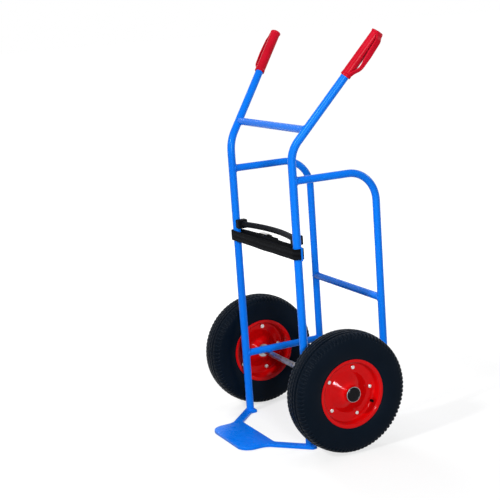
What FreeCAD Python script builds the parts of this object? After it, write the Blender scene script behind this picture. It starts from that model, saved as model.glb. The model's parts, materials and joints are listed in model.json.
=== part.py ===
"""Two-wheeled drum trolley: bent tube frame, toe plate, pneumatic wheels, strap and knuckle-guard grips.

Millimetres. X runs along the axle, -Y is the load side, +Y the operator's side, Z is up, the floor is z = 0.
Pieces are drawn with the rails on y = 0 and moved as they are saved, so that the origin lies on the floor
below the middle of the overall box. Right-hand pieces are modelled and the left-hand ones are their mirror
images.
"""
import FreeCAD
import Part
import math
import os

from FreeCAD import Vector

# Rails and handles
rail_half_gauge = 222.0
rail_diameter = 27.0
rail_wall = 2.5
handle_bend_height = 979.0
handle_bend_radius = 105.0
handle_lean_back = 37.1
handle_splay_out = 18.8
handle_rise = 350.0
handle_crossbar_rise = 62.0
handle_crossbar_diameter = 25.0

# Rear stays, their cross bar and the struts that lie on the axle
stay_diameter = 25.0
stay_height = 883.0
stay_reach = 300.0
stay_bend_radius = 100.0
rear_crossbar_height = 456.0
rear_crossbar_diameter = 25.0
strut_diameter = 25.0
strut_notch = 3.0
brace_wall = 2.0

# Toe plate
toe_thickness = 10.0
toe_side_margin = 25.0
toe_rear_margin = 18.0
toe_corner_radius = 12.0
toe_side_flat = 3.0
toe_pad_inset = 22.0
toe_pad_corner_radius = 6.0
arm_width = 30.0
arm_root_radius = 8.0
tongue_half_width = 130.0
tongue_root = 114.0
tongue_rear = 80.0
tongue_rear_radius = 25.0
tongue_reach = 200.0
tongue_corner_radius = 45.0

# Cradle
cradle_height = 690.0
cradle_bow = 36.0
cradle_bar_diameter = 14.0
cradle_bar_wall = 2.0
cradle_sleeve_wall = 3.0
buffer_length = 26.0
buffer_depth = 36.0
buffer_height = 31.0
buffer_corner_radius = 4.0
buffer_wrap = 6.75

# Grips
grip_length = 170.0
grip_wall = 3.0
grip_end_wall = 4.0
grip_flange_width = 4.0
grip_flange_length = 7.0
grip_collar_step = 0.8
guard_lower_offset = 48.5
guard_upper_offset = 36.0
guard_turn = 10.0
guard_width = 17.0
guard_thickness = 6.0
guard_foot = 12.0
guard_lower_bend = 52.0
guard_upper_bend = 26.0
guard_bend_radius = 16.0

# Axle and its fittings
axle_diameter = 20.0
axle_setback = 94.0
axle_end_margin = 6.0
collar_diameter = 32.0
collar_length = 12.0
washer_diameter = 34.0
washer_thickness = 2.5
split_pin_diameter = 4.0
split_pin_length = 30.0
running_clearance = 0.05
side_clearance = 0.3

# Wheels
tyre_rail_clearance = 28.5
tyre_radius = 200.0
tyre_half_width = 50.0
tyre_shoulder_drop = 6.0
tread_half_width = 39.0
tread_thickness = 12.0
cavity_shoulder_drop = 3.0
sidewall_thickness = 6.0
bead_width = 8.0
groove_width = 4.0
groove_depth = 8.0
groove_spacing = 15.0
groove_count = 4
tube_wall = 2.0
tube_clearance = 0.4
rim_sheet = 2.5
rim_seat_radius = 101.5
rim_flange_radius = 113.0
rim_half_width = 44.0
rim_joint_offset = 10.0
rim_ring_inner_radius = 68.0
rim_cone_height = 24.0
rim_collar_length = 5.0
rim_bolt_circle = 81.0
rim_bolt_count = 5
rim_bolt_phase = -15.7
rim_bolt_diameter = 8.0
rim_bolt_head = 13.0
rim_bolt_head_height = 5.0
rim_bolt_head_round = 1.7
rim_bolt_tail = 2.0
rim_nut_height = 6.5
rim_nut_sides = 6
valve_angle = -119.0
valve_diameter = 8.0
valve_length = 12.0
valve_cap_diameter = 9.5
valve_cap_length = 6.0
valve_inset = 23.4

# Hub
hub_radius = 25.5
hub_outer_length = 48.0
hub_inner_length = 42.0
bearing_radius = 23.5
bearing_width = 14.0
bearing_shoulder = 2.5
bearing_half_spacing = 33.0
cap_skirt = 5.0
cap_wall = 2.0
cap_rim = 1.5
cap_dome = 6.0
cap_nose = 9.0
cap_bulge = 2.2

# Strap and its cam buckle
strap_height = 651.0
strap_width = 35.0
strap_thickness = 2.0
strap_rail_gap = 0.6
strap_layer_gap = 2.4
strap_start = 60.0
strap_leave_angle = 3.0
strap_tail = 250.0
same_layer_length = 108.0
keeper_width = 5.0
keeper_thickness = 3.0
keeper_lug = 3.0
keeper_slack = 1.0
keeper_turn = 10.0
buckle_distance = 150.0
buckle_length = 46.0
buckle_plate = 1.5
buckle_ear_height = 17.0
buckle_side_gap = 1.0
buckle_pin_diameter = 5.0
buckle_pin_height = 10.5
buckle_strap_gap = 0.5
lever_length = 42.0
lever_thickness = 3.0
lever_cam_radius = 9.0
lever_lift = 8.0
spring_wire = 1.0
spring_gap = 1.0
spring_pocket_gap = 0.5
spring_half_length = 6.0

# Values that follow from the driving dimensions
rail_radius = rail_diameter / 2
toe_half_width = rail_half_gauge + toe_side_margin
toe_pad_inner = rail_half_gauge - toe_pad_inset
wheel_half_track = rail_half_gauge + rail_radius + tyre_rail_clearance + tyre_half_width
axle_radius = axle_diameter / 2
axle_height = tyre_radius
strut_height = axle_height + axle_radius + strut_diameter / 2 - strut_notch
frame_shift = Vector(0, (tongue_reach - stay_reach - stay_diameter / 2) / 2, 0)
mirror_plane = Vector(1, 0, 0)
origin = Vector(0, 0, 0)
along_x = Vector(1, 0, 0)
up = Vector(0, 0, 1)
full_turn = 360.0
same_point = 1e-6
beyond = 2000.0


def save(name, shape):
    """Move one node to the frame's origin and write it, after checking that its solids are sound."""
    if not shape.isValid() or not shape.Solids:
        raise ValueError(name + " is not a sound solid")
    placed = shape.copy()
    placed.translate(frame_shift)
    placed.exportStep("parts/" + name + ".step")
    print(name, len(shape.Solids), "solids", round(shape.Volume / 1000, 1), "cm3")


def save_pair(name, shape):
    """Write the right-hand piece and its mirror image."""
    save("right_" + name, shape)
    save("left_" + name, shape.mirror(origin, mirror_plane))


def rod(radius, start, end):
    """Round bar from one point to another."""
    axis = end - start
    return Part.makeCylinder(radius, axis.Length, start, axis)


def bent_path(points, radius):
    """Wire of straight runs through the points, with a tangent arc at each inner point."""
    edges = []
    last = points[0]
    for before, corner, after in zip(points, points[1:], points[2:]):
        back = (before - corner).normalize()
        ahead = (after - corner).normalize()
        half_angle = back.getAngle(ahead) / 2
        reach = radius / math.tan(half_angle)
        arc_start = corner + back * reach
        arc_end = corner + ahead * reach
        bisector = (back + ahead).normalize()
        arc_middle = corner + bisector * (radius / math.sin(half_angle) - radius)
        edges.append(Part.LineSegment(last, arc_start).toShape())
        edges.append(Part.Arc(arc_start, arc_middle, arc_end).toShape())
        last = arc_end
    edges.append(Part.LineSegment(last, points[-1]).toShape())
    return Part.Wire(edges)


def swept(path, section):
    """Solid made by carrying a closed section along a path."""
    return Part.Wire(path).makePipeShell([section], True, False)


def round_bar(path, radius):
    """Solid bar of round section along a path."""
    first = path.OrderedEdges[0]
    start = first.valueAt(first.FirstParameter)
    heading = first.tangentAt(first.FirstParameter)
    if path.OrderedVertexes[0].Point.distanceToPoint(start) > same_point:
        start = first.valueAt(first.LastParameter)
        heading = first.tangentAt(first.LastParameter)
    section = Part.Wire(Part.Circle(start, heading, radius).toShape())
    return swept(path, section)


def tube(path, diameter, wall):
    """Open-ended tube along a path."""
    return round_bar(path, diameter / 2).cut(round_bar(path, diameter / 2 - wall))


def outline(start, *moves):
    """Closed wire in the XY plane: each move is a point, or a pair of points for an arc through the first."""
    edges = []
    last = Vector(*start)
    for move in moves:
        if isinstance(move[0], tuple):
            middle = Vector(*move[0])
            end = Vector(*move[1])
            edges.append(Part.Arc(last, middle, end).toShape())
        else:
            end = Vector(*move)
            edges.append(Part.LineSegment(last, end).toShape())
        last = end
    if last != Vector(*start):
        edges.append(Part.LineSegment(last, Vector(*start)).toShape())
    return Part.Wire(edges)


def bulge(start, end, rise):
    """Arc move from start to end that stands a rise clear of the chord, on its left-hand side."""
    chord = Vector(*end) - Vector(*start)
    middle = (Vector(*start) + Vector(*end)) * 0.5 + up.cross(chord).normalize() * rise
    return (middle.x, middle.y), end


def turned(wire):
    """Solid of revolution about the X axis of an outline drawn as (x, radius)."""
    return Part.Face(wire).revolve(origin, along_x, full_turn)


def rounded_plate(points, thickness):
    """Plate from (x, y, corner radius) points, extruded upwards from z = 0."""
    corners = [Vector(x, y, 0) for x, y, _ in points]
    edges = []
    ends = []
    count = len(points)
    for index, (_, _, radius) in enumerate(points):
        corner = corners[index]
        back = (corners[index - 1] - corner).normalize()
        ahead = (corners[(index + 1) % count] - corner).normalize()
        half_angle = back.getAngle(ahead) / 2
        reach = radius / math.tan(half_angle)
        middle = corner + (back + ahead).normalize() * (radius / math.sin(half_angle) - radius)
        ends.append((corner + back * reach, middle, corner + ahead * reach))
    for index, (arc_start, middle, arc_end) in enumerate(ends):
        edges.append(Part.Arc(arc_start, middle, arc_end).toShape())
        edges.append(Part.LineSegment(arc_end, ends[(index + 1) % count][0]).toShape())
    return Part.Face(Part.Wire(edges)).extrude(up * thickness)


def block(low, high):
    """Box from its low corner to its high corner."""
    size = high - low
    return Part.makeBox(size.x, size.y, size.z, low)


def ring(outer_radius, inner_radius, start, length):
    """Ring about the X axis from x = start."""
    outer = Part.makeCylinder(outer_radius, length, Vector(start, 0, 0), along_x)
    return outer.cut(Part.makeCylinder(inner_radius, length, Vector(start, 0, 0), along_x))


# Frame lines shared by several pieces

handle_direction = Vector(
    math.tan(math.radians(handle_splay_out)), math.tan(math.radians(handle_lean_back)), 1
)
handle_corner = Vector(rail_half_gauge, 0, handle_bend_height)
handle_end = handle_corner + handle_direction * handle_rise
handle_axis = Vector(handle_direction).normalize()
crossbar_point = handle_corner + handle_direction * handle_crossbar_rise
rail_core = rod(rail_radius, Vector(rail_half_gauge, 0, 0), handle_corner)


def both_sides(shape):
    """The right-hand shape together with its mirror image, used as one cutter."""
    return Part.makeCompound([shape, shape.mirror(origin, mirror_plane)])


def make_rail():
    """Upright and handle: one tube, bent back and outwards at the top."""
    foot = Vector(rail_half_gauge, 0, toe_thickness)
    top = handle_end - handle_axis * grip_end_wall
    return tube(bent_path([foot, handle_corner, top], handle_bend_radius), rail_diameter, rail_wall)


def stay_points():
    """Centre line of the rear stay, from the rail back and down to the strut."""
    foot = strut_height - strut_diameter / 2
    return [
        Vector(rail_half_gauge, 0, stay_height),
        Vector(rail_half_gauge, stay_reach, stay_height),
        Vector(rail_half_gauge, stay_reach, foot),
    ]


def make_stay():
    """Rear stay with its leg, coped to the rail."""
    return tube(bent_path(stay_points(), stay_bend_radius), stay_diameter, brace_wall).cut(rail_core)


def straight_tube(start, end, diameter):
    """Straight brace tube."""
    return rod(diameter / 2, start, end).cut(rod(diameter / 2 - brace_wall, start, end))


def make_strut():
    """Level tube from rail to leg, coped at both ends and notched for the axle."""
    start = Vector(rail_half_gauge, 0, strut_height)
    end = Vector(rail_half_gauge, stay_reach, strut_height)
    leg = rod(stay_diameter / 2, Vector(end.x, end.y, 0), Vector(end.x, end.y, stay_height))
    return straight_tube(start, end, strut_diameter).cut(rail_core).cut(leg).cut(make_axle_bar())


def make_handle_crossbar():
    """Cross bar between the handles, coped to both."""
    left = Vector(-crossbar_point.x, crossbar_point.y, crossbar_point.z)
    bar = straight_tube(left, crossbar_point, handle_crossbar_diameter)
    bend = round_bar(bent_path([Vector(rail_half_gauge, 0, 0), handle_corner, handle_end],
                               handle_bend_radius), rail_radius)
    return bar.cut(bend).cut(bend.mirror(origin, mirror_plane))


def make_rear_crossbar():
    """Cross bar between the two legs, coped to both."""
    right = Vector(rail_half_gauge, stay_reach, rear_crossbar_height)
    left = Vector(-rail_half_gauge, stay_reach, rear_crossbar_height)
    leg = rod(stay_diameter / 2, Vector(right.x, right.y, 0), Vector(right.x, right.y, stay_height))
    bar = straight_tube(left, right, rear_crossbar_diameter)
    return bar.cut(leg).cut(leg.mirror(origin, mirror_plane))


def make_toe_plate():
    """Toe plate: a pad under each rail, a slanted arm from each pad and a tongue that goes under the load."""
    outer = Vector(toe_half_width, -toe_side_flat, 0)
    root = Vector(tongue_half_width, -tongue_root, 0)
    slant = (root - outer).normalize()
    inner = outer + Vector(slant.y, -slant.x, 0) * arm_width
    arm_start = inner + slant * ((toe_pad_inner - inner.x) / slant.x)
    arm_end = inner + slant * ((-tongue_rear - inner.y) / slant.y)
    side = [
        (arm_end.x, arm_end.y, tongue_rear_radius),
        (arm_start.x, arm_start.y, arm_root_radius),
        (toe_pad_inner, toe_rear_margin, toe_pad_corner_radius),
        (toe_half_width, toe_rear_margin, toe_corner_radius),
        (outer.x, outer.y, toe_corner_radius),
        (root.x, root.y, tongue_corner_radius),
        (tongue_half_width, -tongue_reach, tongue_corner_radius),
    ]
    mirrored = [(-x, y, radius) for x, y, radius in reversed(side)]
    return rounded_plate(side + mirrored, toe_thickness)


def cradle_path():
    """Arc of the cradle bar: on the rails' line at its ends, bowed back in the middle."""
    left = Vector(-rail_half_gauge, 0, cradle_height)
    middle = Vector(0, cradle_bow, cradle_height)
    right = Vector(rail_half_gauge, 0, cradle_height)
    return Part.Wire(Part.Arc(left, middle, right).toShape())


def make_buffer(bar_core):
    """Rubber block on the end of the cradle bar, fitted round the rail."""
    inner_face = rail_half_gauge - rail_radius - buffer_length + buffer_wrap
    bar_radius = (rail_half_gauge ** 2 + cradle_bow ** 2) / (2 * cradle_bow)
    bar_offset = cradle_bow - bar_radius + math.sqrt(bar_radius ** 2 - inner_face ** 2)
    low = cradle_height - buffer_height / 2
    corner = Vector(inner_face, bar_offset - buffer_depth / 2, low)
    rubber = block(corner, corner + Vector(buffer_length, buffer_depth, buffer_height))
    rubber = rubber.makeFillet(buffer_corner_radius, rubber.Edges)
    return rubber.cut(rail_core).cut(bar_core)


def make_cradle():
    """Steel bar, its rubber sleeve and the two rubber end blocks."""
    path = cradle_path()
    bar_core = round_bar(path, cradle_bar_diameter / 2)
    rails = both_sides(rail_core)
    bar = bar_core.cut(round_bar(path, cradle_bar_diameter / 2 - cradle_bar_wall)).cut(rails)
    buffer = make_buffer(bar_core)
    sleeve = round_bar(path, cradle_bar_diameter / 2 + cradle_sleeve_wall).cut(bar_core)
    sleeve_end = buffer.BoundBox.XMin
    between = block(Vector(-sleeve_end, -beyond, -beyond), Vector(sleeve_end, beyond, beyond))
    save("cradle_bar", bar)
    save("cradle_sleeve", sleeve.common(between))
    save_pair("buffer", buffer)


def make_grip():
    """Grip sleeve closed at its end, with a flange, a collar and a knuckle guard on the outer side."""
    sleeve_radius = rail_radius + grip_wall
    flange_radius = sleeve_radius + grip_flange_width
    base = handle_end - handle_axis * grip_length
    outward = along_x - handle_axis * along_x.dot(handle_axis)
    outward.normalize()
    downward = handle_axis.cross(outward)
    turn = math.radians(guard_turn)
    guard_side = outward * math.cos(turn) + downward * math.sin(turn)
    across = handle_axis.cross(guard_side)
    body = rod(sleeve_radius, base, handle_end)
    body = body.fuse(rod(flange_radius, handle_end - handle_axis * grip_flange_length, handle_end))
    collar_radius = sleeve_radius + grip_collar_step
    body = body.fuse(rod(collar_radius, base, base + handle_axis * grip_flange_length))

    def guard_point(height, offset):
        return base + handle_axis * height + guard_side * offset

    points = [
        guard_point(guard_foot, rail_radius + grip_wall / 2),
        guard_point(guard_lower_bend, guard_lower_offset),
        guard_point(grip_length - guard_upper_bend, guard_upper_offset),
        guard_point(grip_length - grip_flange_length / 2, rail_radius + grip_wall / 2),
    ]
    path = bent_path(points, guard_bend_radius)
    heading = (points[1] - points[0]).normalize()
    normal = heading.cross(across).normalize()
    half_width = across * (guard_width / 2)
    half_thickness = normal * (guard_thickness / 2)
    corners = [
        points[0] + half_width + half_thickness,
        points[0] - half_width + half_thickness,
        points[0] - half_width - half_thickness,
        points[0] + half_width - half_thickness,
    ]
    guard = swept(path, Part.makePolygon(corners + [corners[0]]))
    tube_end = handle_end - handle_axis * grip_end_wall
    hole = rod(rail_radius, base - handle_axis * grip_wall, tube_end)
    return body.fuse(guard).cut(hole).removeSplitter()


def wheel_place(shape):
    """Move a wheel piece from its own axis to the right end of the axle."""
    placed = shape.copy()
    placed.translate(Vector(wheel_half_track, axle_setback, axle_height))
    return placed


def make_axle_bar():
    """Round axle bar across the trolley."""
    reach = wheel_half_track + hub_outer_length - cap_wall + axle_end_margin - cap_skirt / 2
    middle = Vector(0, axle_setback, axle_height)
    return rod(axle_radius, middle - along_x * reach, middle + along_x * reach)


def split_pin_place():
    """Distance of the split pin from the wheel's middle plane."""
    bearing_face = bearing_half_spacing + bearing_width / 2
    return bearing_face + 2 * side_clearance + washer_thickness + split_pin_diameter / 2


def make_axle_set():
    """Axle with its collars, washers and split pins."""
    bearing_face = bearing_half_spacing + bearing_width / 2
    collar_start = -bearing_face - side_clearance - collar_length
    collar = ring(collar_diameter / 2, axle_radius, collar_start, collar_length)
    washer = ring(washer_diameter / 2, axle_radius, bearing_face + side_clearance, washer_thickness)
    pin_x = split_pin_place()
    half_pin = split_pin_length / 2
    pin = rod(split_pin_diameter / 2, Vector(pin_x, 0, -half_pin), Vector(pin_x, 0, half_pin))
    pins = both_sides(wheel_place(pin))
    save("axle", make_axle_bar().cut(pins))
    save("axle_collars", both_sides(wheel_place(collar)))
    save("axle_washers", both_sides(wheel_place(washer)))
    save("split_pins", pins)


def cavity_outline(inset):
    """Section of the air space in the tyre, drawn in by an inset."""
    base = rim_half_width - rim_sheet - bead_width - inset
    side = tyre_half_width - sidewall_thickness - inset
    crown = tyre_radius - tread_thickness - inset
    shoulder = tread_half_width - sidewall_thickness - inset
    edge = crown - cavity_shoulder_drop
    floor = rim_seat_radius + inset
    middle = (rim_flange_radius + tyre_radius) / 2
    return outline(
        (-base, floor), (base, floor), ((side, middle), (shoulder, edge)),
        ((0, crown), (-shoulder, edge)), ((-side, middle), (-base, floor)),
    )


def make_tyre():
    """Tyre casing with bulged sidewalls, a crowned tread and grooves round it."""
    heel = rim_half_width - rim_sheet
    edge = tyre_radius - tyre_shoulder_drop
    middle = (rim_flange_radius + tyre_radius) / 2
    shoulder = (heel + tyre_half_width) / 2
    shoulder_radius = tyre_radius - 2 * tyre_shoulder_drop
    casing = turned(outline(
        (-heel, rim_seat_radius), (heel, rim_seat_radius), (heel, rim_flange_radius),
        ((tyre_half_width, middle), (shoulder, shoulder_radius)), (tread_half_width, edge),
        ((0, tyre_radius), (-tread_half_width, edge)), (-shoulder, shoulder_radius),
        ((-tyre_half_width, middle), (-heel, rim_flange_radius)),
    ))
    casing = casing.cut(turned(cavity_outline(0)))
    for index in range(groove_count):
        place = (index - (groove_count - 1) / 2) * groove_spacing - groove_width / 2
        groove = ring(tyre_radius + groove_depth, tyre_radius - groove_depth, place, groove_width)
        casing = casing.cut(groove)
    return casing


def make_inner_tube():
    """Air tube that fills the tyre."""
    outer = turned(cavity_outline(tube_clearance))
    return outer.cut(turned(cavity_outline(tube_clearance + tube_wall)))


def rim_half(outer_x, joint_x, ring_x, hub_x):
    """Pressed rim half, from flange to hub collar.

    outer_x is the flange's outer face, joint_x the joint face and ring_x the free face of the bolt ring;
    hub_x is where the cone ends on the hub. The flange's sign gives the side.
    """
    side = 1 if outer_x > joint_x else -1
    seat_inner = rim_seat_radius - rim_sheet
    flange_inner = outer_x - side * rim_sheet
    collar_x = hub_x + side * rim_collar_length
    return turned(outline(
        (joint_x, rim_seat_radius), (flange_inner, rim_seat_radius), (flange_inner, rim_flange_radius),
        (outer_x, rim_flange_radius), (outer_x, rim_seat_radius),
        (outer_x - side * rim_sheet, seat_inner), (ring_x, seat_inner),
        (ring_x, rim_ring_inner_radius), (hub_x, hub_radius + rim_sheet), (collar_x, hub_radius + rim_sheet),
        (collar_x, hub_radius), (hub_x - side * rim_sheet, hub_radius),
        (joint_x, rim_ring_inner_radius - rim_sheet),
    ))


def around_wheel(shape, count, phase):
    """Copies of a shape spread evenly round the wheel's axis; phase is measured from the top."""
    copies = []
    for index in range(count):
        copy = shape.copy()
        copy.rotate(origin, along_x, phase + index * full_turn / count)
        copies.append(copy)
    return Part.makeCompound(copies)


def valve_solid():
    """Valve stem with its cap, pointing from the rim towards the hub, before it is turned to its angle."""
    x = rim_half_width - valve_inset
    foot = rim_seat_radius + tube_clearance
    stem = rod(valve_diameter / 2, Vector(x, 0, foot), Vector(x, 0, foot - valve_length))
    cap_start = foot - valve_length
    cap = rod(valve_cap_diameter / 2, Vector(x, 0, cap_start + valve_cap_length), Vector(x, 0, cap_start))
    return stem.fuse(cap).removeSplitter()


def cap_solid():
    """Domed cap that plugs the hub and covers its end, before it is hollowed."""
    start = hub_outer_length - cap_skirt
    edge = (hub_outer_length + cap_rim, hub_radius)
    nose = (hub_outer_length + cap_dome, cap_nose)
    return turned(outline(
        (start, 0), (start, bearing_radius), (hub_outer_length, bearing_radius),
        (hub_outer_length, hub_radius), edge, bulge(edge, nose, cap_bulge), (nose[0], 0),
    ))


def cap_hollow():
    """Space inside the hub cap, a wall in from its plug and its dome."""
    start = hub_outer_length - cap_skirt
    plug = bearing_radius - cap_wall
    seat = hub_outer_length + cap_rim - cap_wall
    nose = (hub_outer_length + cap_dome - cap_wall, cap_nose - cap_wall)
    return turned(outline(
        (start, 0), (start, plug), (seat, plug), bulge((seat, plug), nose, cap_bulge), (nose[0], 0),
    ))


def rim_bolt(ring_out, nut_end):
    """Rim bolt at the top of the bolt circle: rounded head on the outer ring, shank through to the nut."""
    head_foot = Vector(ring_out, 0, rim_bolt_circle)
    head = rod(rim_bolt_head / 2, head_foot, head_foot + along_x * rim_bolt_head_height)
    head = head.makeFillet(rim_bolt_head_round, [head.Edges[0]])
    tip = Vector(nut_end - rim_bolt_tail, 0, rim_bolt_circle)
    return head.fuse(rod(rim_bolt_diameter / 2, tip, head_foot)).removeSplitter()


def rim_nut(nut_end):
    """Hexagon nut at the top of the bolt circle, before it is cut by the bolt."""
    corner_radius = rim_bolt_head / 2 / math.cos(math.pi / rim_nut_sides)
    corners = []
    for index in range(rim_nut_sides + 1):
        turn = index * 2 * math.pi / rim_nut_sides
        corners.append(Vector(nut_end, corner_radius * math.cos(turn), corner_radius * math.sin(turn)))
    nut = Part.Face(Part.makePolygon(corners)).extrude(along_x * rim_nut_height)
    nut.translate(up * rim_bolt_circle)
    return nut


def make_hub():
    """Hub tube with a seat for a bearing at each end."""
    length = hub_inner_length + hub_outer_length
    hub = ring(hub_radius, bearing_radius - bearing_shoulder, -hub_inner_length, length)
    shoulder_face = bearing_half_spacing - bearing_width / 2
    hub = hub.cut(rod(bearing_radius, along_x * shoulder_face, along_x * hub_outer_length))
    return hub.cut(rod(bearing_radius, along_x * -hub_inner_length, along_x * -shoulder_face))


def make_wheel():
    """All the pieces of the right-hand wheel."""
    joint = rim_joint_offset
    ring_out = joint + rim_sheet
    ring_in = joint - rim_sheet
    cone_end = ring_out + rim_cone_height
    nut_end = ring_in - rim_nut_height
    bolts = around_wheel(rim_bolt(ring_out, nut_end), rim_bolt_count, rim_bolt_phase)
    nuts = around_wheel(rim_nut(nut_end), rim_bolt_count, rim_bolt_phase).cut(bolts)
    outer_rim = rim_half(rim_half_width, joint, ring_out, cone_end)
    inner_rim = rim_half(-rim_half_width, joint, ring_in, -cone_end)
    bearing_start = bearing_half_spacing - bearing_width / 2
    bearing = ring(bearing_radius, axle_radius + running_clearance, bearing_start, bearing_width)
    bearings = both_sides(bearing)
    tube_space = turned(cavity_outline(tube_clearance))
    valve = around_wheel(valve_solid(), 1, valve_angle).cut(tube_space)
    save_pair("wheel_tyre", wheel_place(make_tyre()))
    save_pair("inner_tube", wheel_place(make_inner_tube()))
    save_pair("valve", wheel_place(valve))
    save_pair("outer_rim", wheel_place(outer_rim.cut(bolts).cut(valve)))
    save_pair("inner_rim", wheel_place(inner_rim.cut(bolts)))
    save_pair("rim_bolts", wheel_place(bolts))
    save_pair("rim_nuts", wheel_place(nuts))
    save_pair("hub", wheel_place(make_hub()))
    save_pair("bearings", wheel_place(bearings))
    save_pair("hub_cap", wheel_place(cap_solid().cut(cap_hollow())))


# Strap: a flat spiral of two turns round both rails, drawn as its centre line seen from above

strap_inner_radius = rail_radius + strap_rail_gap + strap_thickness / 2
strap_pitch = strap_thickness + strap_layer_gap


def tail_heading():
    """Direction in which the strap's tail leaves the left rail."""
    turn = math.radians(strap_leave_angle)
    return Vector(math.cos(turn), math.sin(turn), 0)


def on_rail(side, radius, angle):
    """Point at a radius and angle (degrees) round the rail on the given side."""
    turn = math.radians(angle)
    return Vector(side * rail_half_gauge + radius * math.cos(turn), radius * math.sin(turn), 0)


def strap_stretches(offset):
    """Lines and arcs of the strap's centre line, moved sideways by an offset (positive is outwards)."""
    first = strap_inner_radius + offset
    second = first + strap_pitch
    climb = math.degrees(math.acos(strap_pitch / (2 * rail_half_gauge)))
    rear = 180 - climb
    leave = 90 + strap_leave_angle
    tail_start = on_rail(-1, second, leave)
    start = Vector(strap_start, first, 0)
    return [
        (start, None, on_rail(1, first, 90)),
        (on_rail(1, first, 90), on_rail(1, first, 0), on_rail(1, first, -90)),
        (on_rail(1, first, -90), None, on_rail(-1, first, -90)),
        (on_rail(-1, first, -90), on_rail(-1, first, 180), on_rail(-1, first, rear)),
        (on_rail(-1, first, rear), None, on_rail(1, second, rear)),
        (on_rail(1, second, rear), on_rail(1, second, 0), on_rail(1, second, -90)),
        (on_rail(1, second, -90), None, on_rail(-1, second, -90)),
        (on_rail(-1, second, -90), on_rail(-1, second, 180), tail_start),
        (tail_start, None, tail_start + tail_heading() * strap_tail),
    ]


def stretch_edge(start, middle, end):
    """One line or arc of the strap."""
    if middle is None:
        return Part.LineSegment(start, end).toShape()
    return Part.Arc(start, middle, end).toShape()


def make_strap():
    """Webbing wound twice round the rails, in one unbroken band."""
    outside = strap_stretches(strap_thickness / 2)
    inside = strap_stretches(-strap_thickness / 2)
    edges = [stretch_edge(*stretch) for stretch in outside + inside]
    edges.append(Part.LineSegment(outside[0][0], inside[0][0]).toShape())
    edges.append(Part.LineSegment(outside[-1][-1], inside[-1][-1]).toShape())
    band = Part.Face(Part.Wire(Part.__sortEdges__(edges)))
    strap = band.extrude(up * strap_width)
    strap.translate(up * (strap_height - strap_width / 2))
    return strap


def strap_self_gap():
    """Least gap between two layers of the strap and its length, measured on points along its centre line."""
    points = []
    travelled = []
    length = 0.0
    for stretch in strap_stretches(0):
        edge = stretch_edge(*stretch)
        samples = edge.discretize(Distance=strap_thickness)
        if samples[0].distanceToPoint(stretch[0]) > samples[-1].distanceToPoint(stretch[0]):
            samples.reverse()
        for sample in samples:
            if points:
                length += sample.distanceToPoint(points[-1])
            points.append(sample)
            travelled.append(length)
    least = min(
        points[i].distanceToPoint(points[j])
        for i in range(0, len(points), 2) for j in range(i + 1, len(points))
        if travelled[j] - travelled[i] > same_layer_length
    )
    return least - strap_thickness, length


def make_keeper():
    """Strap keeper: a flat staple on the outer side of the rail, with the strap between it and the rail."""
    stand_off = strap_rail_gap + 2 * strap_thickness + strap_layer_gap + keeper_slack
    inner = rail_half_gauge + rail_radius + stand_off
    half_opening = strap_width / 2 + keeper_slack
    half_height = half_opening + keeper_lug
    half_width = keeper_width / 2
    bar = block(
        Vector(inner, -half_width, strap_height - half_height),
        Vector(inner + keeper_thickness, half_width, strap_height + half_height),
    )
    for low in (strap_height - half_height, strap_height + half_opening):
        lug = block(Vector(rail_half_gauge, -half_width, low), Vector(inner, half_width, low + keeper_lug))
        bar = bar.fuse(lug)
    keeper = bar.cut(rail_core).removeSplitter()
    keeper.rotate(Vector(rail_half_gauge, 0, 0), up, keeper_turn)
    return keeper


def buckle_place(shape):
    """Move a buckle piece from its own frame (X along the strap, Y outwards) to the strap's tail."""
    placed = shape.copy()
    placed.rotate(origin, up, strap_leave_angle)
    start = on_rail(-1, strap_inner_radius + strap_pitch, 90 + strap_leave_angle)
    placed.translate(start + tail_heading() * buckle_distance + up * strap_height)
    return placed


def make_buckle():
    """Cam buckle on the strap's tail: body, lever, pin and spring."""
    strap_face = strap_thickness / 2
    under = -strap_face - buckle_strap_gap
    half_inside = strap_width / 2 + buckle_side_gap
    half_length = buckle_length / 2
    pin_radius = buckle_pin_diameter / 2
    half_outside = half_inside + buckle_plate
    back = under - buckle_plate
    pivot = Vector(0, buckle_pin_height, 0)

    def on_pin(radius, half_width):
        return rod(radius, pivot - up * half_width, pivot + up * half_width)

    body = block(Vector(-half_length, back, -half_outside), Vector(half_length, under, half_outside))
    for low in (-half_outside, half_inside):
        ear_corner = Vector(-half_length, back, low)
        ear = block(ear_corner, ear_corner + Vector(buckle_length, buckle_ear_height, buckle_plate))
        body = body.fuse(ear)
    pin_end = half_outside + buckle_plate
    pin = on_pin(pin_radius, pin_end)
    body = body.cut(pin).removeSplitter()
    half_lever = half_inside - side_clearance
    cam_low = strap_face + side_clearance
    below = block(Vector(-beyond, -beyond, -beyond), Vector(beyond, cam_low, beyond))
    plate_low = lever_lift + buckle_pin_height - lever_cam_radius
    plate_corner = Vector(0, plate_low, -half_lever)
    plate = block(plate_corner, plate_corner + Vector(lever_length, lever_thickness, 2 * half_lever))
    bore = on_pin(pin_radius + running_clearance, pin_end)
    spring_radius = pin_radius + spring_gap + spring_wire
    pocket = on_pin(spring_radius + spring_pocket_gap, spring_half_length + spring_gap)
    lever = on_pin(lever_cam_radius, half_lever).fuse(plate).cut(below).cut(bore).cut(pocket).removeSplitter()
    spring = on_pin(spring_radius, spring_half_length).cut(on_pin(pin_radius, spring_half_length))
    save("buckle_body", buckle_place(body))
    save("buckle_lever", buckle_place(lever))
    save("buckle_pin", buckle_place(pin))
    save("buckle_spring", buckle_place(spring))
    print("buckle pivot", buckle_place(Part.Vertex(pivot)).Point + frame_shift)


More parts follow.
